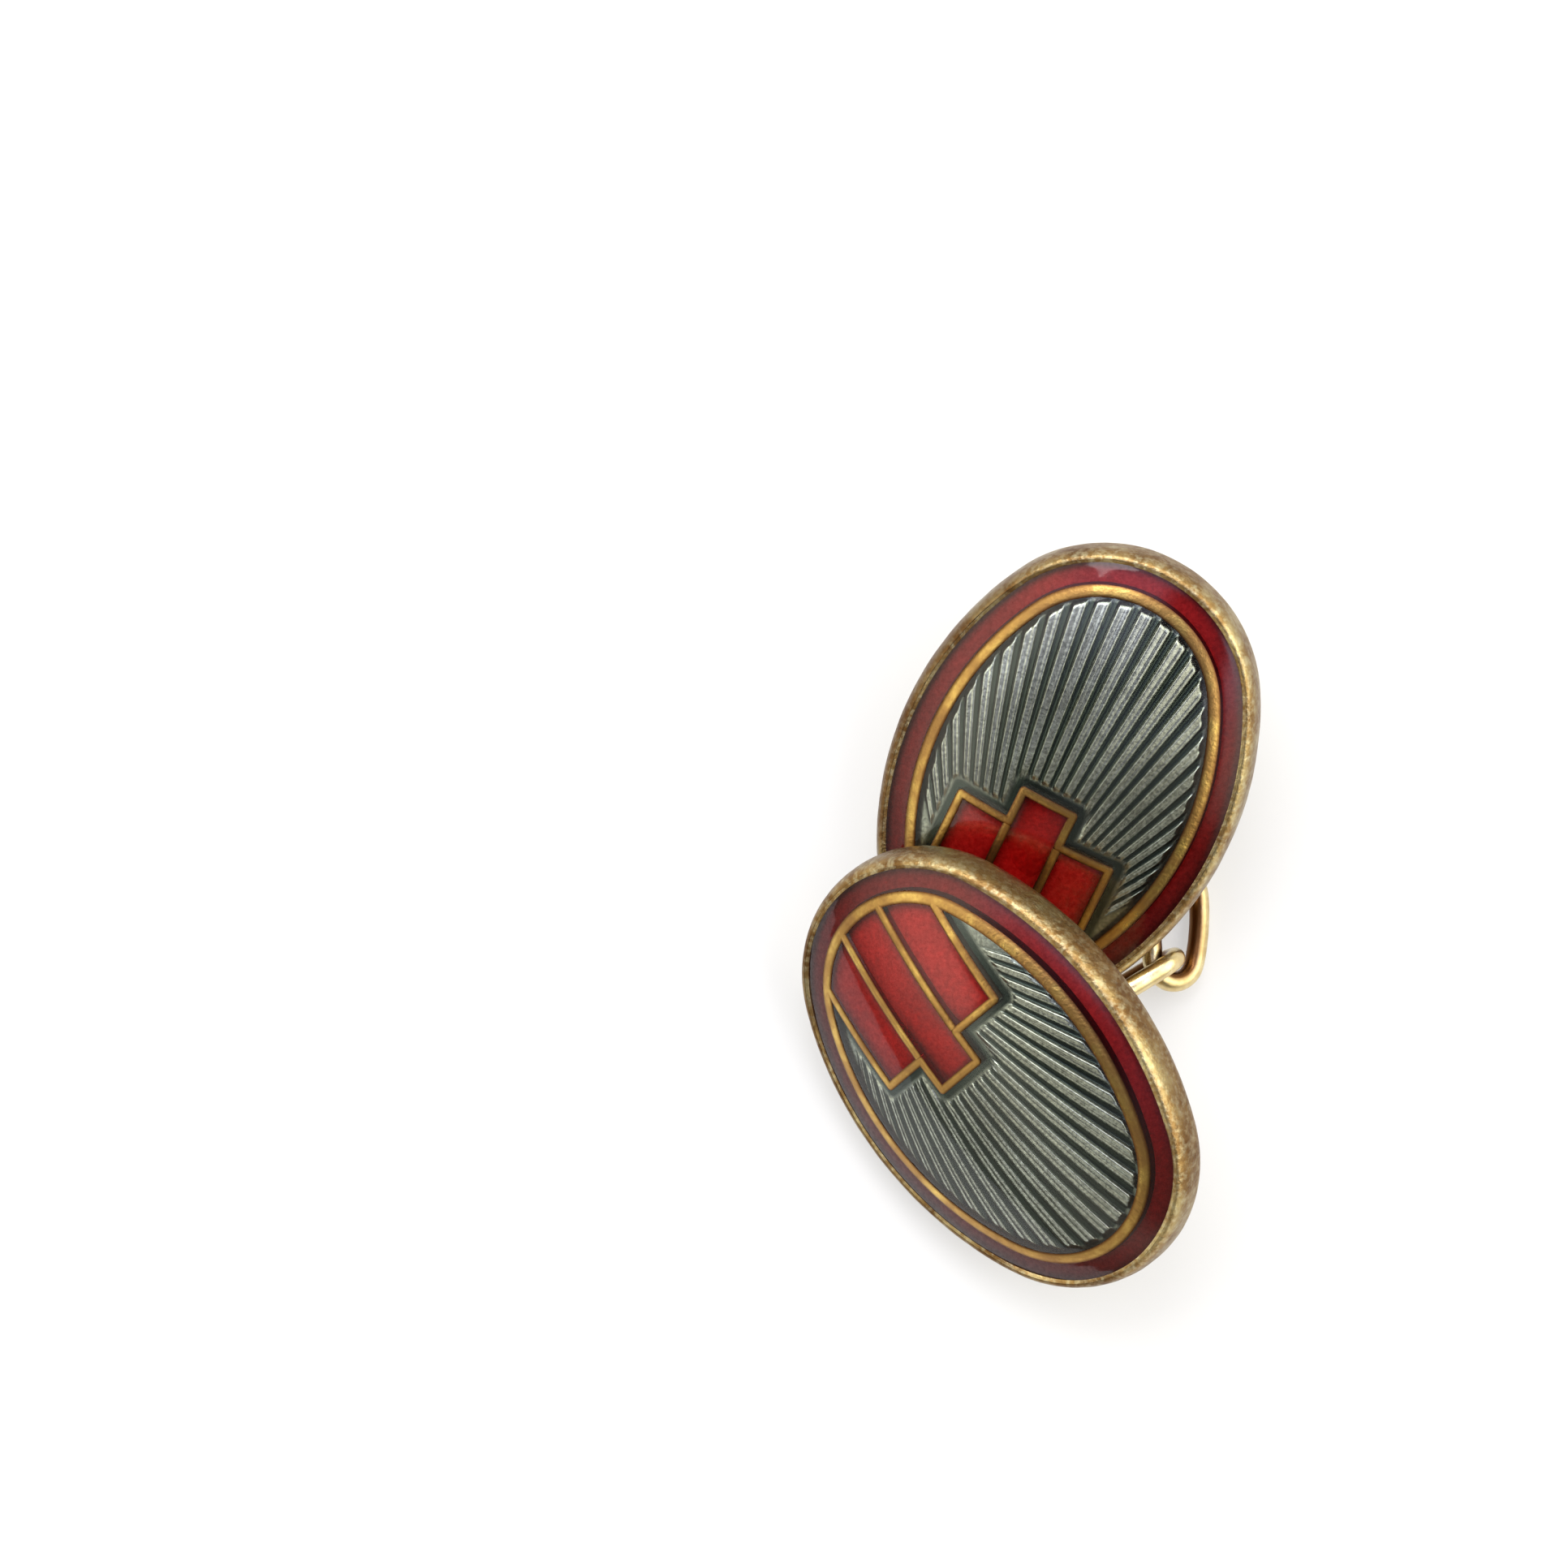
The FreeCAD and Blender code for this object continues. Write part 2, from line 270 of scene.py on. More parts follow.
# Enamels: open tint, tint of the painted shade at the edges, colour of the absorption and its density
BORDER_GLASS = ((0.95, 0.82, 0.84), (0.6, 0.4, 0.4), (0.78, 0.1, 0.16), 5500)
RED_GLASS = ((0.97, 0.84, 0.84), (0.4, 0.18, 0.18), (0.935, 0.15, 0.18), 4400)
FIELD_GLASS = ((0.97, 0.98, 0.97), (0.85, 0.92, 0.92), (0.57, 0.63, 0.545), 1150)
CLOUDS = (0.0028, 5, 0.65)
CLOUD_RANGE = (0.34, 0.66)
CLOUD_SHADE = 0.74
ENAMEL_ROUGHNESS = 0.06
ENAMEL_IOR = 1.46
ENAMEL_WAVES = (0.0011, 3, 0.5)
ENAMEL_BUMP = (0.00001, 0.25)

# Materials of the plaque, by their numbers on its faces
PLAQUE_FINISH = ["line", "ground", "floor", "rim"]
LINE_NUMBER, GROUND_NUMBER, FLOOR_NUMBER, RIM_NUMBER = range(len(PLAQUE_FINISH))


def smooth_step(value):
    """Smooth 0 to 1 ramp."""
    value = min(1.0, max(0.0, value))
    return value * value * (3 - 2 * value)


def turn(axis, degrees):
    """Rotation about X, Y or Z."""
    return Matrix.Rotation(math.radians(degrees), 4, axis)


def oval_arcs(half_length, half_width, tip_radius):
    """Centre, radius, start angle and end angle of an oval's four arcs, its long axis along Y."""
    tip = half_length - tip_radius
    side_radius = (half_width**2 + tip**2 - tip_radius**2) / (2 * (half_width - tip_radius))
    side = side_radius - half_width
    split = math.atan2(tip, side)
    return (
        ((-side, 0), side_radius, -split, split),
        ((0, tip), tip_radius, split, math.pi - split),
        ((side, 0), side_radius, math.pi - split, math.pi + split),
        ((0, -tip), tip_radius, math.pi + split, 2 * math.pi - split),
    )


def oval_rail(half_length, half_width, tip_radius, steps):
    """Evenly spaced stations round an oval, each as centre, outward direction and radius."""
    arcs = oval_arcs(half_length, half_width, tip_radius)
    lengths = [radius * (end - start) for _, radius, start, end in arcs]
    total = sum(lengths)
    rail = []
    for number in range(steps):
        place = total * number / steps
        for (centre, radius, start, end), length in zip(arcs, lengths):
            if place <= length:
                angle = start + place / radius
                rail.append((centre, (math.cos(angle), math.sin(angle)), radius))
                break
            place -= length
    return rail


HEAD_RAIL = oval_rail(HEAD_LENGTH / 2, HEAD_WIDTH / 2, END_RADIUS, OUTLINE_STEPS)
TIP = HEAD_LENGTH / 2 - END_RADIUS
SIDE_RADIUS = oval_arcs(HEAD_LENGTH / 2, HEAD_WIDTH / 2, END_RADIUS)[0][1]
SIDE_CENTRE = SIDE_RADIUS - HEAD_WIDTH / 2


def inset_at(x, y):
    """Distance inwards from the head's outline."""
    x, y = abs(x), abs(y)
    if (y - TIP) * SIDE_CENTRE > TIP * x:
        return END_RADIUS - math.hypot(x, y - TIP)
    return SIDE_RADIUS - math.hypot(x + SIDE_CENTRE, y)


FACE_SIDE = HEAD_WIDTH / 2 - BORDER_INSET
FACE_END = HEAD_LENGTH / 2 - BORDER_INSET
ACROSS_RADIUS = (FACE_SIDE**2 + DOME_RISE**2) / (2 * DOME_RISE)
ALONG_RADIUS = (FACE_END**2 + DOME_RISE**2) / (2 * DOME_RISE)


def dome(x, y):
    """Height of the domed face."""
    across_drop = ACROSS_RADIUS - math.sqrt(ACROSS_RADIUS**2 - x * x)
    along_height = math.sqrt((ALONG_RADIUS - across_drop) ** 2 - y * y)
    return RIM_HEIGHT + DOME_RISE - ALONG_RADIUS + along_height


def oval_top(x, inset):
    """Height along Y at which the inset outline crosses a line along the head."""
    low, high = 0.0, HEAD_LENGTH / 2
    for _ in range(BISECTIONS):
        middle = (low + high) / 2
        if inset_at(x, middle) > inset:
            low = middle
        else:
            high = middle
    return low


class Shape:
    """Vertices and faces gathered for one mesh.

    Each face has a material number, and each point a tone that its material reads for painted shade (on
    the cup, patina too):
    0 in a groove, at an enamel's or a line's edge, low on the cup, on a rim's side turned from the light
    or on a wire's inner side, and 1 in the open.
    """

    def __init__(self):
        self.points = []
        self.tones = []
        self.faces = []
        self.numbers = []

    def add(self, points, faces, numbers, tones=None):
        """Adds a patch, with a material number for each face."""
        first = len(self.points)
        self.points.extend(points)
        self.tones.extend(tones or [1.0] * len(points))
        self.faces.extend([tuple(first + index for index in face) for face in faces])
        self.numbers.extend(numbers)

    def add_rings(self, rings, numbers=None, tones=None, closed=False):
        """Adds a skin over rings of equal length, capped, or joined end to start.

        Each ring has the material number of the skin from it to the next ring.
        """
        size = len(rings[0])
        numbers = numbers or [0] * len(rings)
        points = [point for ring in rings for point in ring]
        faces, face_numbers = [], []
        for row in range(len(rings) if closed else len(rings) - 1):
            base, upper = row * size, (row + 1) % len(rings) * size
            for index in range(size):
                after = (index + 1) % size
                faces.append((base + index, base + after, upper + after, upper + index))
            face_numbers.extend([numbers[row]] * size)
        if not closed:
            last = (len(rings) - 1) * size
            faces.append(tuple(reversed(range(size))))
            faces.append(tuple(range(last, last + size)))
            face_numbers.extend([numbers[0], numbers[-1]])
        flat_tones = [tone for ring in tones for tone in ring] if tones else None
        self.add(points, faces, face_numbers, flat_tones)

    def add_slab(self, top, bottom, number=0, tones=None):
        """Adds a closed slab between two equal grids of points, given as rows."""
        rows, columns = len(top), len(top[0])
        count = rows * columns
        points = [point for row in top for point in row] + [point for row in bottom for point in row]
        faces = []
        for row in range(rows - 1):
            for column in range(columns - 1):
                corner = row * columns + column
                quad = (corner, corner + 1, corner + columns + 1, corner + columns)
                faces.append(quad)
                faces.append(tuple(count + index for index in reversed(quad)))
        edge = list(range(columns))
        edge += [row * columns + columns - 1 for row in range(1, rows)]
        edge += [(rows - 1) * columns + column for column in range(columns - 2, -1, -1)]
        edge += [row * columns for row in range(rows - 2, 0, -1)]
        for index, start in enumerate(edge):
            end = edge[(index + 1) % len(edge)]
            faces.append((end, start, count + start, count + end))
        flat_tones = [tone for row in tones for tone in row] * 2 if tones else None
        self.add(points, faces, [number] * len(faces), flat_tones)


def face_ring(inset, lift):
    """Ring of points at an inset of the outline, lifted off the dome."""
    ring = []
    for centre, (along_x, along_y), radius in HEAD_RAIL:
        x = centre[0] + along_x * (radius - inset)
        y = centre[1] + along_y * (radius - inset)
        ring.append((x, y, dome(x, y) + lift))
    return ring


def flat_ring(inset, level):
    """Ring of points at an inset of the outline, at one level."""
    ring = []
    for centre, (along_x, along_y), radius in HEAD_RAIL:
        x = centre[0] + along_x * (radius - inset)
        y = centre[1] + along_y * (radius - inset)
        ring.append((x, y, level))
    return ring


def far_side_shade(x, y, lit_side):
    """Share of brown painted shade on the rim: none on its side that faces the light, most on the far
    side.
    """
    towards = (x * lit_side[0] + y * lit_side[1]) / math.hypot(x, y)
    return SIDE_SHADE_SHARE * smooth_step((SIDE_SHADE_START - towards) / SIDE_SHADE_REACH)


def cup_rings():
    """Rings from the middle of the cup's back round its rim and down inside, and their tones."""
    rings = [flat_ring(inset, 0) for inset in BACK_INSETS]
    # Tones: patina and painted shade darken the back and the low side
    tones = [BACK_TONE] * len(rings)
    for step in range(ROUND_STEPS + 1):
        angle = math.pi / 2 * step / ROUND_STEPS
        inset = BACK_ROUND * (1 - math.sin(angle))
        rings.append(flat_ring(inset, BACK_ROUND * (1 - math.cos(angle))))
        tones.append(BACK_TONE + (SIDE_TONE - BACK_TONE) * step / ROUND_STEPS)
    for step in range(ROUND_STEPS + 1):
        angle = math.pi / 2 * step / ROUND_STEPS
        level = WIDEST_LEVEL + (RIM_HEIGHT - WIDEST_LEVEL) * math.sin(angle)
        rings.append(flat_ring(CUP_WALL * (1 - math.cos(angle)), level))
        open_share = smooth_step(2 - 2 * math.cos(angle))  # full from 60 degrees up the rim
        tones.append(SIDE_TONE + (1 - SIDE_TONE) * open_share)
    rings.append(flat_ring(CUP_WALL, CUP_FLOOR))
    tones.append(SIDE_TONE)
    return rings, tones


def cup_shape(seed, lit_side):
    """Cup with a flat back and a rim worn a little uneven, with brown painted shade away from its lit
    side.
    """
    worn, worn_tones = [], []
    for ring, tone in zip(*cup_rings()):
        new_ring, new_tones = [], []
        for x, y, z in ring:
            place = Vector((x, y, z)) / DENT_PITCH + Vector((seed, seed, seed))
            fine_dent = FINE_DENT_SHARE * noise.noise(place * FINE_DENT_RATIO)
            dent = DENT_DEPTH * (noise.noise(place) + fine_dent - DENT_OFFSET)
            near_rim = smooth_step(z / BACK_ROUND)
            scale = 1 + dent * near_rim / math.hypot(x, y)
            new_ring.append((x * scale, y * scale, z))
            # Painted shade on the rim's side turned from the light
            new_tones.append(tone * (1 - near_rim * far_side_shade(x, y, lit_side)))
        worn.append(new_ring)
        worn_tones.append(new_tones)
    shape = Shape()
    shape.add_rings(worn, tones=worn_tones)
    return shape


def plaque_ground(shape):
    """Floor of the plaque with its edge band and the raised oval line, as one closed body."""
    rings = [flat_ring(inset, CUP_FLOOR) for inset in (BACK_INSETS[0], BACK_INSETS[2], BAND_INSET)]
    band = BORDER_INSET - BAND_INSET
    line = FIELD_INSET - LINE_INSET
    floor = -ENAMEL_DEPTH
    for share, height in BAND_PROFILE:
        flat = flat_ring(BAND_INSET + band * share, RIM_HEIGHT)
        domed = face_ring(BAND_INSET + band * share, 0)
        lift = LINE_PROUD * height
        ring = []
        for (x, y, low), (_, _, high) in zip(flat, domed):
            ring.append((x, y, low + (high - low) * share + lift))
        rings.append(ring)
    tones = [1.0] * len(rings)
    numbers = [RIM_NUMBER] * len(rings)
    for share in BORDER_FLOOR_SHARES:
        rings.append(face_ring(BORDER_INSET + (LINE_INSET - BORDER_INSET) * share, floor))
        tones.append(0.0)
        numbers.append(FLOOR_NUMBER if share < 1 else LINE_NUMBER)
    for share, height in LINE_PROFILE:
        rings.append(face_ring(LINE_INSET + line * share, LINE_PROUD * height))
        # Tone falls to 0 at the line's edges, for painted shade there
        tones.append(1 - abs(2 * share - 1))
        numbers.append(LINE_NUMBER)
    for inset in FLOOR_INSETS:
        rings.append(face_ring(inset, floor))
        tones.append(0.0)
        numbers.append(FLOOR_NUMBER)
    shape.add_rings(rings, numbers, [[tone] * OUTLINE_STEPS for tone in tones])


def wall_stations(points):
    """Places along a wall's path, each with its offsets to the left and to the right.

    A corner has several places, spread round its outer side.
    """
    stations = []
    for index, (x, y) in enumerate(points):
        before = Vector(points[max(index - 1, 0)])
        after = Vector(points[min(index + 1, len(points) - 1)])
        here = Vector((x, y))
        directions = [step.normalized() for step in (here - before, after - here) if step.length > 0]
        normals = [Vector((-step.y, step.x)) for step in directions]
        mitre = sum(normals, Vector((0, 0)))
        mitre = mitre / (mitre.length_squared / len(normals))
        bend = directions[0].cross(directions[-1])
        if abs(bend) < CORNER_BEND:
            stations.append((here, mitre, mitre))
            continue
        for share in CORNER_SHARES:
            outer = (normals[0] * (1 - share) + normals[1] * share).normalized()
            inner = mitre + (directions[0] + directions[1]) * (share - 0.5) * CORNER_SPREAD
            stations.append((here, inner, outer) if bend > 0 else (here, outer, inner))
    return stations


def bar_wall_path(points):
    """Wall along a path on the face, rounded on top and at its outer corners."""
    rings, tones = [], []
    profile = [(share, LINE_PROUD * height) for share, height in WALL_PROFILE]
    profile += [(1.0, -ENAMEL_DEPTH - SUNK), (-1.0, -ENAMEL_DEPTH - SUNK)]
    for here, left, right in wall_stations(points):
        ring = []
        for share, lift in profile:
            spot = here + (left if share > 0 else right) * (share * BAR_WALL / 2)
            ring.append((spot.x, spot.y, dome(spot.x, spot.y) + lift))
        rings.append(ring)
        # Tone falls to 0 at the wall's edges, for painted shade there
        tones.append([1 - abs(share) for share, _ in profile])
    return rings, tones


def stepped_path(corners, step):
    """Points along straight runs, about a step apart, corners kept."""
    points = [corners[0]]
    for start, end in zip(corners, corners[1:]):
        length = math.dist(start, end)
        count = max(1, round(length / step))
        for number in range(1, count + 1):
            share = number / count
            x = start[0] + (end[0] - start[0]) * share
            y = start[1] + (end[1] - start[1]) * share
            points.append((x, y))
    return points


def plaque_bars(shape):
    """Gilt walls round the three bars."""
    inner = (BAR_WIDTH + BAR_WALL) / 2
    outer = inner + BAR_WIDTH + BAR_WALL
    middle_foot = MIDDLE_BAR_FOOT - BAR_WALL / 2
    side_foot = SIDE_BAR_FOOT - BAR_WALL / 2
    top_inset = (LINE_INSET + FIELD_INSET) / 2
    outer_top = oval_top(outer, top_inset)
    inner_top = oval_top(inner, top_inset)
    outline = [
        (-outer, outer_top), (-outer, side_foot), (-inner, side_foot), (-inner, middle_foot),
        (inner, middle_foot), (inner, side_foot), (outer, side_foot), (outer, outer_top),
    ]
    rings, tones = bar_wall_path(stepped_path(outline, WALL_STEP))
    shape.add_rings(rings, tones=tones)
    for side in (-1, 1):
        divider = [(side * inner, inner_top), (side * inner, side_foot + BAR_WALL / 2 - TUCK)]
        rings, tones = bar_wall_path(stepped_path(divider, WALL_STEP))
        shape.add_rings(rings, tones=tones)


def bar_distance(x, y):
    """Distance outside the stepped block of the bars and their walls."""
    half = BAR_WIDTH / 2 + BAR_WALL
    spacing = BAR_WIDTH + BAR_WALL
    best = HEAD_LENGTH
    for column, foot in ((-1, SIDE_BAR_FOOT), (0, MIDDLE_BAR_FOOT), (1, SIDE_BAR_FOOT)):
        across = abs(x - column * spacing) - half
        below = foot - BAR_WALL - y
        outside = math.hypot(max(across, 0), max(below, 0))
        best = min(best, outside + min(max(across, below), 0))
    return best


def ray_span(angle, oval_inset, bar_gap):
    """Nearest and farthest reach of a ray over the field, from the fan's origin."""
    way = (math.sin(angle), -math.cos(angle))
    inside = []
    for number in range(RAY_SAMPLES):
        reach = HEAD_LENGTH * number / RAY_SAMPLES
        x, y = way[0] * reach, RAY_ORIGIN + way[1] * reach
        if inset_at(x, y) > oval_inset and bar_distance(x, y) > bar_gap:
            inside.append(reach)
    return (inside[0], inside[-1]) if inside else None


def fan_steps(start, end):
    """Reaches along a ray, closer together near both ends."""
    near = [RAY_END_STEP * number for number in range(RAY_END_STEPS)]
    squeeze = min(1.0, (end - start) / 2 / (RAY_END_STEP * RAY_END_STEPS))
    near = [offset * squeeze for offset in near]
    first = start + RAY_END_STEP * RAY_END_STEPS * squeeze
    last = start + end - first
    steps = range(RAY_MIDDLE_STEPS + 1)
    middle = [first + (last - first) * number / RAY_MIDDLE_STEPS for number in steps]
    return [start + offset for offset in near] + middle + [end - offset for offset in reversed(near)]


def fan_grid(stations):
    """Rows of (x, y) points over the field, one row for each station as degrees and crest."""
    rows = []
    for degrees, crest in stations:
        angle = math.radians(degrees)
        span = ray_span(angle, FIELD_INSET - TUCK, -TUCK)
        if span is None:
            continue
        points = []
        for reach in fan_steps(*span):
            points.append((math.sin(angle) * reach, RAY_ORIGIN - math.cos(angle) * reach))
        rows.append((degrees, crest, points))
    return rows


def rib_fade(x, y, degrees):
    """1 where the ribs are full, 0 in the flat margins round them."""
    oval_end = (inset_at(x, y) - FIELD_INSET - OVAL_MARGIN) / RIB_END
    bar_end = (bar_distance(x, y) - BAR_MARGIN) / RIB_END
    side_end = (RIB_LAST_ANGLE - abs(degrees)) / RIB_FADE_ANGLE
    return smooth_step(min(oval_end, bar_end, side_end))


def plaque_rays(shape):
    """Fan of ribs struck in the ground, as a closed slab sunk in the floor."""
    stations = []
    for number in range(-RAY_SIDE_COUNT, RAY_SIDE_COUNT + 1):
        for share, crest in RIB_PROFILE:
            stations.append(((number - 0.5 + share) * RAY_PITCH, crest))
    top, bottom, tones = [], [], []
    for degrees, crest, points in fan_grid(stations):
        row, row_tones = [], []
        for x, y in points:
            fade = rib_fade(x, y, degrees)
            spot = Vector((round(degrees / RAY_PITCH) * WANDER_APART, y * WANDER_RATE, 0))
            rise = crest * fade * (1 + RIB_WANDER * noise.noise(spot))
            flat = FLAT_TONE * smooth_step((bar_distance(x, y) - BAR_MARGIN / 3) / BAR_MARGIN)
            height = RIB_RISE * math.hypot(x, y - RAY_ORIGIN) / RIB_FULL_REACH
            row.append((x, y, dome(x, y) - GROUND_DROP + height * rise))
            # Tone for painted shade: low in the grooves and in the margins by the bars
            row_tones.append(rise + flat * (1 - fade))
        top.append(row)
        bottom.append([(x, y, dome(x, y) - ENAMEL_DEPTH - SUNK) for x, y in points])
        tones.append(row_tones)
    shape.add_slab(top, bottom, GROUND_NUMBER, tones)


def plaque_shape():
    """Struck plate: floor, edge band, oval line, bars' walls and fan."""
    shape = Shape()
    plaque_ground(shape)
    plaque_bars(shape)
    plaque_rays(shape)
    return shape


def enamel_top(x, y, edge):
    """Height of the enamel's surface: flush, drawn down a little at its edges, faintly rippled."""
    spot = Vector((x * RIPPLE_RATE, y * RIPPLE_RATE, RIPPLE_LAYER))
    ripple = RIPPLE * (noise.noise(spot) - 1)
    return dome(x, y) - MENISCUS * (1 - smooth_step(edge / MENISCUS_WIDTH)) + ripple


def edge_tone(edge):
    """Tone of an enamel point by its distance from the enamel's edge, for the painted shade there."""
    return min(1.0, max(0.0, (edge - TUCK) / EDGE_SHADE))


def border_enamel_shape():
    """Ring of dark red enamel."""
    low = -ENAMEL_DEPTH - SUNK
    start, end = BORDER_INSET - TUCK, LINE_INSET + TUCK
    rings = [face_ring(start, low)]
    tones = [[0.0] * OUTLINE_STEPS]
    for step in range(BORDER_STEPS + 1):
        inset = start + (end - start) * step / BORDER_STEPS
        edge = min(inset - start, end - inset)
        rings.append([(x, y, enamel_top(x, y, edge)) for x, y, _ in face_ring(inset, 0)])
        tones.append([edge_tone(edge)] * OUTLINE_STEPS)
    rings.append(face_ring(end, low))
    tones.append([0.0] * OUTLINE_STEPS)
    shape = Shape()
    shape.add_rings(rings, tones=tones, closed=True)
    return shape


def field_enamel_shape():
    """Clear enamel over the fan, flush with the walls."""
    stations = []
    count = RAY_SIDE_COUNT * FIELD_STEPS
    for number in range(-count, count + 1):
        stations.append((number / FIELD_STEPS * RAY_PITCH, 0))
    top, bottom, tones = [], [], []
    for _, _, points in fan_grid(stations):
        edges = [min(inset_at(x, y) - FIELD_INSET, bar_distance(x, y)) + TUCK for x, y in points]
        top.append([(x, y, enamel_top(x, y, edge)) for (x, y), edge in zip(points, edges)])
        bottom.append([(x, y, dome(x, y) - ENAMEL_DEPTH - SUNK) for x, y in points])
        tones.append([edge_tone(edge) for edge in edges])
    shape = Shape()
    shape.add_slab(top, bottom, 0, tones)
    return shape


def bar_enamel_shape(column):
    """Red enamel of one bar, from its foot up to the oval line."""
    foot = (SIDE_BAR_FOOT if column else MIDDLE_BAR_FOOT) - TUCK
    half = BAR_WIDTH / 2 + TUCK
    middle = column * (BAR_WIDTH + BAR_WALL)
    top, bottom, tones = [], [], []
    for number in range(BAR_COLUMNS + 1):
        x = middle - half + 2 * half * number / BAR_COLUMNS
        end = oval_top(x, FIELD_INSET - TUCK)
        points = [(x, foot + (end - foot) * step / BAR_ROWS) for step in range(BAR_ROWS + 1)]
        edges = []
        for px, py in points:
            edges.append(min(half - abs(px - middle), py - foot, inset_at(px, py) - FIELD_INSET + TUCK))
        top.append([(px, py, enamel_top(px, py, edge)) for (px, py), edge in zip(points, edges)])
        bottom.append([(px, py, dome(px, py) - ENAMEL_DEPTH - SUNK) for px, py in points])
        tones.append([edge_tone(edge) for edge in edges])
    shape = Shape()
    shape.add_slab(top, bottom, 0, tones)
    return shape


def tube_rings(points, tangents, insides, radii):
    """Round sections along a path, and their tones: 0 on the side that faces inside, for painted shade
    there.
    """
    rings, tones = [], []
    for point, tangent, inside, radius in zip(points, tangents, insides, radii):
        upright = tangent.cross(inside).normalized()
        ring, ring_tones = [], []
        for number in range(WIRE_SIDES):
            angle = 2 * math.pi * number / WIRE_SIDES
            ring.append(tuple(point + (inside * math.cos(angle) + upright * math.sin(angle)) * radius))
            ring_tones.append((1 - math.cos(angle)) / 2)
        rings.append(ring)
        tones.append(ring_tones)
    return rings, tones


def loop_shape(seed):
    """U of round wire on the back, with a small solder foot at each end."""
    straight = LOOP_DEPTH - LOOP_BEND
    points = [Vector((0, -LOOP_HALF_WIDTH, -straight * step / POST_STEPS)) for step in range(POST_STEPS)]
    for step in range(BEND_STEPS + 1):
        angle = math.pi / 2 * step / BEND_STEPS
        along = -LOOP_HALF_WIDTH + LOOP_BEND * (1 - math.cos(angle))
        points.append(Vector((0, along, -straight - LOOP_BEND * math.sin(angle))))
    points = points + [Vector((0, -point.y, point.z)) for point in reversed(points)]
    tangents, insides, radii = [], [], []
    for index, point in enumerate(points):
        before = points[max(index - 1, 0)]
        after = points[min(index + 1, len(points) - 1)]
        tangent = (after - before).normalized()
        tangents.append(tangent)
        insides.append(Vector((1, 0, 0)).cross(tangent))
        foot = SOLDER_FOOT * math.exp(point.z * SOLDER_FALL)
        radii.append(LOOP_WIRE / 2 * worn_share(point, seed) + foot)
    shape = Shape()
    rings, tones = tube_rings(points, tangents, insides, radii)
    shape.add_rings(rings, tones=tones)
    return shape


def worn_share(point, seed):
    """Share of the wire's full radius that wear has left at a point."""
    return 1 - WIRE_WEAR * (1 + noise.noise(point * WEAR_RATE + Vector((seed, 0, 0))))


def link_shape(length, opening, seed):
    """Closed oval link of round wire, with a soldered seam and slight wear."""
    half_length = (length - LINK_WIRE) / 2
    half_width = (opening + LINK_WIRE) / 2
    rail = oval_rail(half_length, half_width, half_width - LINK_BOW, LINK_STEPS)
    seam = LINK_STEPS * SEAM_PLACE
    points, tangents, insides, radii = [], [], [], []
    for index, (centre, (out_x, out_y), radius) in enumerate(rail):
        point = Vector((centre[1] + out_y * radius, centre[0] + out_x * radius, 0))
        points.append(point)
        tangents.append(Vector((out_x, -out_y, 0)))
        insides.append(Vector((-out_y, -out_x, 0)))
        joint = SEAM_RISE * (math.exp(-(((index - seam) / SEAM_STEPS) ** 2)) - 1)
        radii.append(LINK_WIRE / 2 * worn_share(point, seed) + joint)
    rings, tones = tube_rings(points, tangents, insides, radii)
    shape = Shape()
    shape.add_rings(rings, tones=tones, closed=True)
    return shape


def make_mesh(name, shape, matrix, materials):
    """Mesh from a shape, in place, with its materials and tones."""
    mesh = bpy.data.meshes.new(name)
    mesh.from_pydata([tuple(matrix @ Vector(point)) for point in shape.points], [], shape.faces)
    for material in materials:
        mesh.materials.append(material)
    mesh.polygons.foreach_set("material_index", shape.numbers)
    mesh.polygons.foreach_set("use_smooth", [True] * len(shape.faces))
    mesh.attributes.new("tone", "FLOAT", "POINT").data.foreach_set("value", shape.tones)
    editor = bmesh.new()
    editor.from_mesh(mesh)
    bmesh.ops.remove_doubles(editor, verts=editor.verts, dist=MERGE_DISTANCE)
    bmesh.ops.recalc_face_normals(editor, faces=editor.faces)
    editor.to_mesh(mesh)
    editor.free()
    mesh.set_sharp_from_angle(angle=math.radians(SHARP_ANGLE))
    return mesh


def make_piece(name, mesh, body, node):
    """Object riding on a body and standing for a CAD node."""
    piece = bpy.data.objects.new(name, mesh)
    bpy.context.scene.collection.objects.link(piece)
    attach(piece, body)
    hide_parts(node)


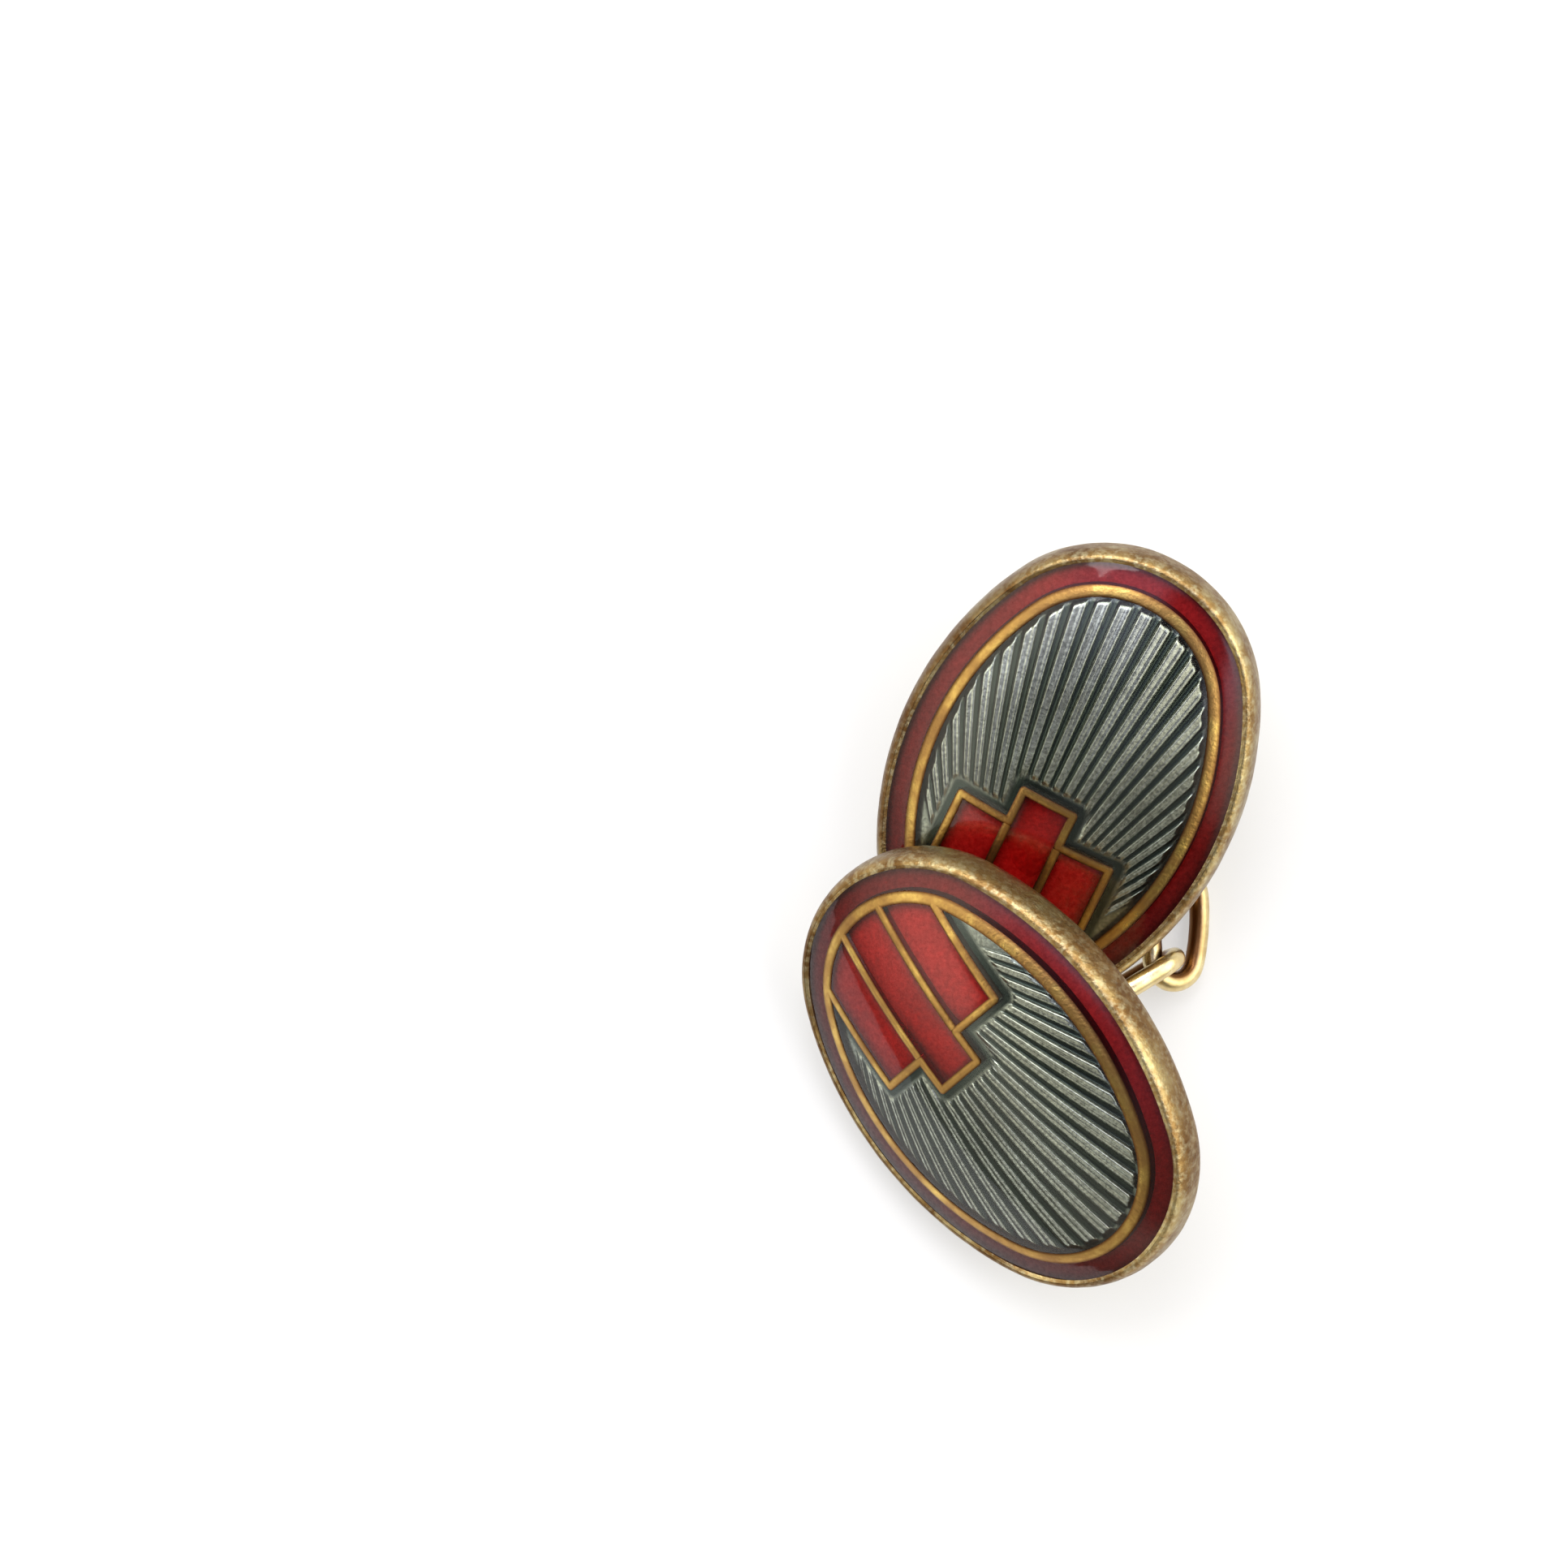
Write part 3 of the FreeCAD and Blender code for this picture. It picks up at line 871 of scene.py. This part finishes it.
class Nodes:
    """Short way to build a material's node tree."""

    def __init__(self, name):
        self.material = bpy.data.materials.new(name)
        self.material.use_nodes = True
        self.tree = self.material.node_tree
        self.shader = self.tree.nodes["Principled BSDF"]
        self.output = self.tree.nodes["Material Output"]
        self.place = self.add("ShaderNodeTexCoord").outputs["Object"]

    def add(self, kind, inputs=None, **settings):
        """New node with settings, and inputs given as values or sockets."""
        node = self.tree.nodes.new(kind)
        for key, value in settings.items():
            setattr(node, key, value)
        for key, value in (inputs or {}).items():
            self.put(node.inputs[key], value)
        return node

    def put(self, socket, value):
        """Sets a socket to a value, or links it."""
        if isinstance(value, bpy.types.NodeSocket):
            self.tree.links.new(value, socket)
        else:
            socket.default_value = value

    def noise(self, pitch, detail, roughness):
        """Noise whose features are about a pitch in metres apart."""
        inputs = {"Vector": self.place, "Scale": 1 / pitch, "Detail": detail, "Roughness": roughness}
        return self.add("ShaderNodeTexNoise", inputs).outputs["Fac"]

    def tone(self):
        """Tone that the mesh carries at each point, which sets where shade is painted."""
        return self.add("ShaderNodeAttribute", attribute_name="tone").outputs["Fac"]

    def ramp(self, value, stops):
        """Colour ramp from (position, colour) stops."""
        node = self.add("ShaderNodeValToRGB", {"Fac": value})
        elements = node.color_ramp.elements
        while len(elements) < len(stops):
            elements.new(0.5)
        for element, (position, colour) in zip(elements, stops):
            element.position = position
            element.color = (*colour, 1)
        return node.outputs["Color"]

    def span(self, value, low, high, from_low=0.0, from_high=1.0):
        """Value mapped from one range to another."""
        inputs = {"Value": value, "To Min": low, "To Max": high}
        inputs.update({"From Min": from_low, "From Max": from_high})
        return self.add("ShaderNodeMapRange", inputs).outputs["Result"]

    def mix(self, share, first, second, blend="MIX"):
        """Mixed colour."""
        node = self.add("ShaderNodeMix", data_type="RGBA", blend_type=blend)
        for socket, value in ((node.inputs[0], share), (node.inputs[6], first), (node.inputs[7], second)):
            if isinstance(value, tuple):
                value = (*value, 1)
            self.put(socket, value)
        return node.outputs[2]

    def bump(self, height, distance, strength):
        """Bump of a height in metres."""
        inputs = {"Height": height, "Distance": distance, "Strength": strength}
        self.put(self.shader.inputs["Normal"], self.add("ShaderNodeBump", inputs).outputs["Normal"])

    def set(self, **values):
        """Sets inputs of the shader by name, underscores for spaces."""
        for key, value in values.items():
            if isinstance(value, tuple):
                value = (*value, 1)
            self.put(self.shader.inputs[key.replace("_", " ")], value)


def rim_gilt():
    """Worn gilt of the cup: brown patina in patches, pale rubbed spots, fine pitting, and a dark brown of
    patina and painted shade low on its side and away from the light.
    """
    nodes = Nodes("rim_gilt")
    patches = nodes.noise(*RIM_PATCHES)
    spots = nodes.ramp(nodes.noise(*RIM_RUBBING), RIM_SPOTS)
    gilt = nodes.mix(spots, nodes.ramp(patches, RIM_BROWNS), RUBBED_GILT)
    # Dark brown of patina and painted shade where the tone is low
    colour = nodes.mix(nodes.span(nodes.tone(), PATINA_AND_SHADE_SHARE, 0.0), gilt, PATINA_AND_SHADE)
    roughness = nodes.span(patches, *RIM_ROUGHNESS, *PATCH_RANGE)
    nodes.set(Base_Color=colour, Metallic=1.0, Roughness=roughness)
    nodes.bump(nodes.noise(*RIM_PITS), *RIM_BUMP)
    return nodes.material


def line_gilt():
    """Coppery gilt of the raised lines, brighter where rubbed, with painted shade at their edges towards
    the enamel.
    """
    nodes = Nodes("line_gilt")
    patches = nodes.noise(*LINE_PATCHES)
    share = nodes.span(nodes.tone(), 0.0, 1.0, *LINE_EDGE_SHADE_RANGE)
    colour = nodes.mix(share, LINE_EDGE_SHADE, nodes.ramp(patches, LINE_GILTS))
    roughness = nodes.span(patches, *LINE_ROUGHNESS, *PATCH_RANGE)
    nodes.set(Base_Color=colour, Metallic=1.0, Roughness=roughness)
    nodes.bump(nodes.noise(*LINE_PITS), *LINE_BUMP)
    return nodes.material


def ground_metal():
    """Struck pale metal under the clear enamel, finely grained, with painted shade in its grooves, low on
    its ribs and in its margins.
    """
    nodes = Nodes("ground_metal")
    grain = nodes.noise(*GROUND_GRAIN)
    base = nodes.ramp(nodes.noise(*GROUND_PATCHES), GROUND_TONES)
    speckled = nodes.mix(1.0, base, nodes.ramp(grain, GROUND_SPECKLE), "MULTIPLY")
    share = nodes.span(nodes.tone(), 0.0, 1.0, *GROOVE_SHADE_RANGE)
    colour = nodes.mix(share, GROOVE_SHADE, speckled)
    nodes.set(Base_Color=colour, Metallic=1.0, Roughness=nodes.span(grain, *GROUND_ROUGHNESS))
    nodes.bump(grain, *GROUND_BUMP)
    return nodes.material


def floor_metal():
    """Pale rough metal below the red enamels."""
    nodes = Nodes("floor_metal")
    grain = nodes.noise(*CELL_GRAIN)
    nodes.set(Base_Color=nodes.ramp(grain, CELL_TONES), Metallic=1.0, Roughness=CELL_ROUGHNESS)
    nodes.bump(grain, *CELL_BUMP)
    return nodes.material


def wire_gold():
    """Pale gold wire, with brown painted shade on its inner side."""
    nodes = Nodes("wire_gold")
    patches = nodes.noise(*WIRE_PATCHES)
    share = nodes.span(nodes.tone(), 0.0, 1.0, *WIRE_INNER_SHADE_RANGE)
    colour = nodes.mix(share, WIRE_INNER_SHADE, nodes.ramp(patches, WIRE_GOLDS))
    roughness = nodes.span(patches, *WIRE_ROUGHNESS, *PATCH_RANGE)
    nodes.set(Base_Color=colour, Metallic=1.0, Roughness=roughness)
    nodes.bump(nodes.noise(*WIRE_PITS), *WIRE_BUMP)
    return nodes.material


def enamel(name, tint, edge_shade_tint, absorb, density):
    """Clear coloured enamel with painted shade at its edges, that lets the lamps through to the metal
    below.
    """
    nodes = Nodes(name)
    cloudy_tint = tuple(channel * CLOUD_SHADE for channel in tint)
    mottled = nodes.ramp(nodes.noise(*CLOUDS), tuple(zip(CLOUD_RANGE, (cloudy_tint, tint))))
    # Painted shade at the enamel's edges
    colour = nodes.mix(nodes.tone(), edge_shade_tint, mottled)
    nodes.set(Base_Color=colour, Roughness=ENAMEL_ROUGHNESS, IOR=ENAMEL_IOR, Transmission_Weight=1.0)
    nodes.bump(nodes.noise(*ENAMEL_WAVES), *ENAMEL_BUMP)
    clear = nodes.add("ShaderNodeBsdfTransparent", {"Color": (1, 1, 1, 1)})
    path = nodes.add("ShaderNodeLightPath")
    mixed = nodes.add("ShaderNodeMixShader", {0: path.outputs["Is Shadow Ray"]})
    nodes.tree.links.new(nodes.shader.outputs[0], mixed.inputs[1])
    nodes.tree.links.new(clear.outputs[0], mixed.inputs[2])
    nodes.tree.links.new(mixed.outputs[0], nodes.output.inputs["Surface"])
    volume = nodes.add("ShaderNodeVolumeAbsorption", {"Color": (*absorb, 1), "Density": density})
    nodes.tree.links.new(volume.outputs[0], nodes.output.inputs["Volume"])
    return nodes.material


def place_of(mount_name):
    """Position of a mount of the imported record."""
    for mount in frame["record"]["mounts"]:
        if mount["name"] == mount_name:
            return Vector(mount["pos_m"])
    raise ValueError(mount_name)


SCALE = Matrix.Scale(MILLIMETRE, 4)
MATERIALS = {
    "rim": rim_gilt(),
    "line": line_gilt(),
    "ground": ground_metal(),
    "floor": floor_metal(),
    "wire": wire_gold(),
    "border": enamel("border_enamel", *BORDER_GLASS),
    "red": enamel("red_enamel", *RED_GLASS),
    "field": enamel("field_enamel", *FIELD_GLASS),
}
PLAQUE = plaque_shape()
BORDER_ENAMEL = border_enamel_shape()
FIELD_ENAMEL = field_enamel_shape()
BARS = {"left_bar": -1, "middle_bar": 0, "right_bar": 1}
BAR_ENAMELS = {name: bar_enamel_shape(column) for name, column in BARS.items()}


def build_head(body):
    """All pieces of one head."""
    seed = SEEDS[body]
    turned, nod, lean = HEAD_LIES[body]
    rotation = turn("Z", turned) @ turn("X", nod) @ turn("Y", lean)
    matrix = Matrix.Translation(place_of(body + "_back")) @ rotation @ SCALE
    pieces = [
        ("gilt_cup", cup_shape(seed, LIT_SIDES[body]), ["rim"], "cup", "gilt_cup"),
        ("struck_plaque", PLAQUE, PLAQUE_FINISH, "plaque", "gilt_plaque"),
        ("border", BORDER_ENAMEL, ["border"], "border_enamel", "maroon_enamel"),
        ("field", FIELD_ENAMEL, ["field"], "field_enamel", "grey_green_enamel"),
        ("wire_loop", loop_shape(seed), ["wire"], "loop", "chain_wire"),
    ]
    for name, shape in BAR_ENAMELS.items():
        pieces.append((name, shape, ["red"], name + "_enamel", "red_enamel"))
    for name, shape, finish, node, slot in pieces:
        full_name = body + "_" + name
        mesh = make_mesh(full_name, shape, matrix, [MATERIALS[material] for material in finish])
        make_piece(full_name, mesh, body, body + "_" + node)


def build_link(body, length, opening):
    """One link of the chain."""
    heading, climb, roll = LINK_LIES[body]
    low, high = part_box(body)
    rotation = turn("Z", heading) @ turn("Y", -climb) @ turn("X", roll)
    matrix = Matrix.Translation((low + high) / 2) @ rotation @ SCALE
    name = body + "_wire"
    mesh = make_mesh(name, link_shape(length, opening, SEEDS[body]), matrix, [MATERIALS["wire"]])
    make_piece(name, mesh, body, body)


build_head("head_a")
build_head("head_b")
build_link("link_a", END_LINK_LENGTH, END_LINK_OPENING)
build_link("link_middle", MIDDLE_LINK_LENGTH, MIDDLE_LINK_OPENING)
build_link("link_b", END_LINK_LENGTH, END_LINK_OPENING)


def build_floor():
    """Plain white floor with pale shadows, milky to the eye so that a pose below it still shows."""
    half = FLOOR_HALF
    corners = [(-half, -half, 0), (half, -half, 0), (half, half, 0), (-half, half, 0)]
    mesh = bpy.data.meshes.new("floor")
    mesh.from_pydata(corners, [], [(0, 1, 2, 3)])
    nodes = Nodes("floor_white")
    nodes.set(Base_Color=FLOOR_COLOUR, Roughness=FLOOR_ROUGHNESS, Specular_IOR_Level=0.0)
    white = nodes.add("ShaderNodeEmission", {"Color": (1, 1, 1, 1), "Strength": 1.0})
    clear = nodes.add("ShaderNodeBsdfTransparent", {"Color": (1, 1, 1, 1)})
    path = nodes.add("ShaderNodeLightPath")
    surface = nodes.shader
    sights = (("Is Glossy Ray", white), ("Is Transmission Ray", white), ("Is Camera Ray", clear))
    for kind, seen in sights:
        factors = {0: path.outputs[kind], 1: FLOOR_WHITE_SHARE}
        share = nodes.add("ShaderNodeMath", factors, operation="MULTIPLY")
        mixed = nodes.add("ShaderNodeMixShader", {0: share.outputs["Value"]})
        nodes.tree.links.new(surface.outputs[0], mixed.inputs[1])
        nodes.tree.links.new(seen.outputs[0], mixed.inputs[2])
        surface = mixed
    nodes.tree.links.new(surface.outputs[0], nodes.output.inputs["Surface"])
    mesh.materials.append(nodes.material)
    floor = bpy.data.objects.new("floor", mesh)
    bpy.context.scene.collection.objects.link(floor)


def build_lamp():
    """Soft square lamp aimed at the object."""
    lamp = bpy.data.lights.new("key_lamp", "AREA")
    lamp.size = LAMP_SIZE
    lamp.energy = LAMP_POWER
    holder = bpy.data.objects.new("key_lamp", lamp)
    holder.location = LAMP_PLACE
    aim = Vector(LAMP_TARGET) - Vector(LAMP_PLACE)
    holder.rotation_euler = aim.to_track_quat("-Z", "Y").to_euler()
    bpy.context.scene.collection.objects.link(holder)


def sky_patch(tree, direction, patch, outside):
    """Value that goes smoothly from outside a patch of the sky to the patch's amount."""
    aim, start, end, amount = patch
    dot = tree.nodes.new("ShaderNodeVectorMath")
    dot.operation = "DOT_PRODUCT"
    tree.links.new(direction, dot.inputs[0])
    dot.inputs[1].default_value = Vector(aim).normalized()
    smooth = tree.nodes.new("ShaderNodeMapRange")
    smooth.interpolation_type = "SMOOTHSTEP"
    tree.links.new(dot.outputs["Value"], smooth.inputs["Value"])
    smooth.inputs["From Min"].default_value = start
    smooth.inputs["From Max"].default_value = end
    smooth.inputs["To Min"].default_value = outside
    smooth.inputs["To Max"].default_value = amount
    return smooth.outputs["Result"]


def sky_level(tree, direction):
    """Strength of the sky by direction: its level with glows, shades and the fall to the horizon."""
    steps = [("ADD", glow, 0.0) for glow in SKY_GLOWS]
    steps += [("MULTIPLY", shade, 1.0) for shade in SKY_SHADES]
    steps.append(("MULTIPLY", SKY_HORIZON, HORIZON_SHARE))
    level = tree.nodes.new("ShaderNodeValue").outputs["Value"]
    level.default_value = SKY_LEVEL
    for action, patch, outside in steps:
        joined = tree.nodes.new("ShaderNodeMath")
        joined.operation = action
        tree.links.new(level, joined.inputs[0])
        tree.links.new(sky_patch(tree, direction, patch, outside), joined.inputs[1])
        level = joined.outputs["Value"]
    return level


def sky_colour(tree, direction):
    """Colour of the sky by direction, from low to overhead."""
    tint = tree.nodes.new("ShaderNodeMix")
    tint.data_type = "RGBA"
    tree.links.new(sky_patch(tree, direction, SKY_OVERHEAD, 0.0), tint.inputs[0])
    tint.inputs[6].default_value = (*LOW_SKY_COLOUR, 1)
    tint.inputs[7].default_value = (*HIGH_SKY_COLOUR, 1)
    return tint.outputs[2]


def build_world():
    """Soft sky, dark overhead and brighter low on both sides, plain white to the eye."""
    world = bpy.data.worlds.new("soft_sky")
    bpy.context.scene.world = world
    world.use_nodes = True
    tree = world.node_tree
    sky = tree.nodes["Background"]
    direction = tree.nodes.new("ShaderNodeTexCoord").outputs["Generated"]
    tree.links.new(sky_level(tree, direction), sky.inputs["Strength"])
    tree.links.new(sky_colour(tree, direction), sky.inputs["Color"])
    backdrop = tree.nodes.new("ShaderNodeBackground")
    backdrop.inputs["Color"].default_value = (1, 1, 1, 1)
    path = tree.nodes.new("ShaderNodeLightPath")
    mixed = tree.nodes.new("ShaderNodeMixShader")
    tree.links.new(path.outputs["Is Camera Ray"], mixed.inputs[0])
    tree.links.new(sky.outputs[0], mixed.inputs[1])
    tree.links.new(backdrop.outputs[0], mixed.inputs[2])
    tree.links.new(mixed.outputs[0], tree.nodes["World Output"].inputs["Surface"])


def build_camera():
    """Camera straight above, framed as the photograph is."""
    back = place_of("head_a_back")
    pixel = MILLIMETRE / PIXELS_PER_MILLIMETRE
    middle = PHOTO_PIXELS / 2
    x = back.x - (HEAD_A_PIXEL[0] - middle) * pixel
    y = back.y + (HEAD_A_PIXEL[1] - middle) * pixel
    camera = bpy.data.cameras.new("camera")
    camera.sensor_fit = "HORIZONTAL"
    camera.angle = 2 * math.atan(PHOTO_PIXELS * pixel / 2 / CAMERA_DISTANCE)
    camera.clip_start = CAMERA_CLIP
    holder = bpy.data.objects.new("camera", camera)
    holder.location = (x, y, back.z + CAMERA_DISTANCE)
    bpy.context.scene.collection.objects.link(holder)
    bpy.context.scene.camera = holder


build_floor()
build_world()
build_lamp()
build_camera()
bpy.context.scene.view_settings.view_transform = "Standard"
